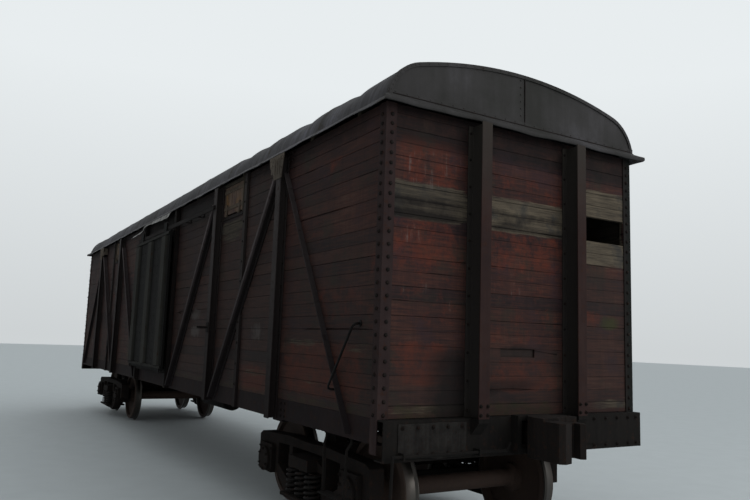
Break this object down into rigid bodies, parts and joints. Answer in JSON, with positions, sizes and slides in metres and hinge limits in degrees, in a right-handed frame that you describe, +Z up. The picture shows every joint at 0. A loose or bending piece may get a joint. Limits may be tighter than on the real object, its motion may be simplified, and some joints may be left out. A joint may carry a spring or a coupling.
{
  "type": "four-axle broad-gauge covered goods wagon with timber body",
  "caption": "Timber-bodied covered goods wagon with an external steel truss, arched sheet roof, sliding side doors, claw couplers and cast swivelling bogies.",
  "frame": {"origin": "centre of the wagon in plan, at the lowest point of the wheel flanges", "axes": "+X along the wagon towards the end with the missing boards, +Z up, +Y to the left when facing +X"},
  "size_m": [15.034, 3.298, 4.22],
  "materials": {
    "oxide_boards": "boards with weathered red oxide paint",
    "bare_boards": "bare weathered boards",
    "old_timber": "old unpainted timber",
    "painted_frame": "dull red-brown paint over rusting rolled steel",
    "door_steel": "faded brown-grey paint on pressed steel",
    "roof_sheet": "dull grey weathered sheet",
    "dome_sheet": "dark grey painted sheet",
    "underframe_steel": "black-brown grimy steel",
    "cast_steel": "rough grimy casting",
    "spring_steel": "rusty spring bar",
    "wheel_steel": "rusty discs with polished treads"
  },
  "bodies": {
    "body": {"floor": "old_timber", "centre_sill": "underframe_steel", "side_sills": "painted_frame", "end_sills": "underframe_steel", "crossmembers": "underframe_steel", "pivot_plates": "cast_steel", "wall_right_front": "oxide_boards", "wall_right_rear": "oxide_boards", "wall_left_front": "oxide_boards", "wall_left_rear": "oxide_boards", "end_wall_front": "oxide_boards", "end_wall_rear": "oxide_boards", "corner_angles": "painted_frame", "side_posts": "painted_frame", "side_braces": "painted_frame", "end_posts": "painted_frame", "door_frames": "painted_frame", "door_tracks": "painted_frame", "door_guides": "painted_frame", "roof": "roof_sheet", "roof_bows": "old_timber", "end_dome_front": "dome_sheet", "end_dome_rear": "dome_sheet", "cant_rails": "underframe_steel", "coupler_front": "cast_steel", "coupler_rear": "cast_steel", "coupler_carriers": "cast_steel", "uncoupling_levers": "underframe_steel", "foot_steps": "underframe_steel", "grab_irons": "underframe_steel", "brake_cylinder": "underframe_steel", "air_reservoir": "underframe_steel", "brake_rigging": "underframe_steel", "train_pipe": "underframe_steel"},
    "door_right": {"door_right": "door_steel"},
    "door_left": {"door_left": "door_steel"},
    "hatch_right_front": {"hatch_right_front": "bare_boards"},
    "hatch_right_rear": {"hatch_right_rear": "bare_boards"},
    "hatch_left_front": {"hatch_left_front": "bare_boards"},
    "hatch_left_rear": {"hatch_left_rear": "bare_boards"},
    "bogie_front": {"bogie_side_frames_front": "cast_steel", "bogie_bolster_front": "cast_steel", "bogie_springs_front": "spring_steel", "axle_boxes_front": "cast_steel", "brake_beams_front": "underframe_steel"},
    "bogie_rear": {"bogie_side_frames_rear": "cast_steel", "bogie_bolster_rear": "cast_steel", "bogie_springs_rear": "spring_steel", "axle_boxes_rear": "cast_steel", "brake_beams_rear": "underframe_steel"},
    "wheelset_1": {"wheelset_1": "wheel_steel"},
    "wheelset_2": {"wheelset_2": "wheel_steel"},
    "wheelset_3": {"wheelset_3": "wheel_steel"},
    "wheelset_4": {"wheelset_4": "wheel_steel"}
  },
  "joints": [
    {"name": "bogie_front_swivel", "type": "hinge", "parent": "body", "child": "bogie_front", "pos_m": [5, 0, 0.834], "axis": [0, 0, 1], "range_deg": [-6, 6]},
    {"name": "bogie_rear_swivel", "type": "hinge", "parent": "body", "child": "bogie_rear", "pos_m": [-5, 0, 0.834], "axis": [0, 0, 1], "range_deg": [-6, 6]},
    {"name": "wheelset_1_roll", "type": "hinge", "parent": "bogie_front", "child": "wheelset_1", "pos_m": [5.925, 0, 0.503], "axis": [0, 1, 0], "continuous": true},
    {"name": "wheelset_2_roll", "type": "hinge", "parent": "bogie_front", "child": "wheelset_2", "pos_m": [4.075, 0, 0.503], "axis": [0, 1, 0], "continuous": true},
    {"name": "wheelset_3_roll", "type": "hinge", "parent": "bogie_rear", "child": "wheelset_3", "pos_m": [-4.075, 0, 0.503], "axis": [0, 1, 0], "continuous": true},
    {"name": "wheelset_4_roll", "type": "hinge", "parent": "bogie_rear", "child": "wheelset_4", "pos_m": [-5.925, 0, 0.503], "axis": [0, 1, 0], "continuous": true},
    {"name": "door_right_slide", "type": "slide", "parent": "body", "child": "door_right", "axis": [1, 0, 0], "range_m": [0, 1.85]},
    {"name": "door_left_slide", "type": "slide", "parent": "body", "child": "door_left", "axis": [-1, 0, 0], "range_m": [0, 1.85]},
    {"name": "hatch_right_front_lid", "type": "hinge", "parent": "body", "child": "hatch_right_front", "pos_m": [3.364, -1.439, 3.27], "axis": [1, 0, 0], "range_deg": [0, 170]},
    {"name": "hatch_right_rear_lid", "type": "hinge", "parent": "body", "child": "hatch_right_rear", "pos_m": [-3.364, -1.439, 3.27], "axis": [1, 0, 0], "range_deg": [0, 170]},
    {"name": "hatch_left_front_lid", "type": "hinge", "parent": "body", "child": "hatch_left_front", "pos_m": [3.364, 1.439, 3.27], "axis": [-1, 0, 0], "range_deg": [0, 170]},
    {"name": "hatch_left_rear_lid", "type": "hinge", "parent": "body", "child": "hatch_left_rear", "pos_m": [-3.364, 1.439, 3.27], "axis": [-1, 0, 0], "range_deg": [0, 170]}
  ]
}
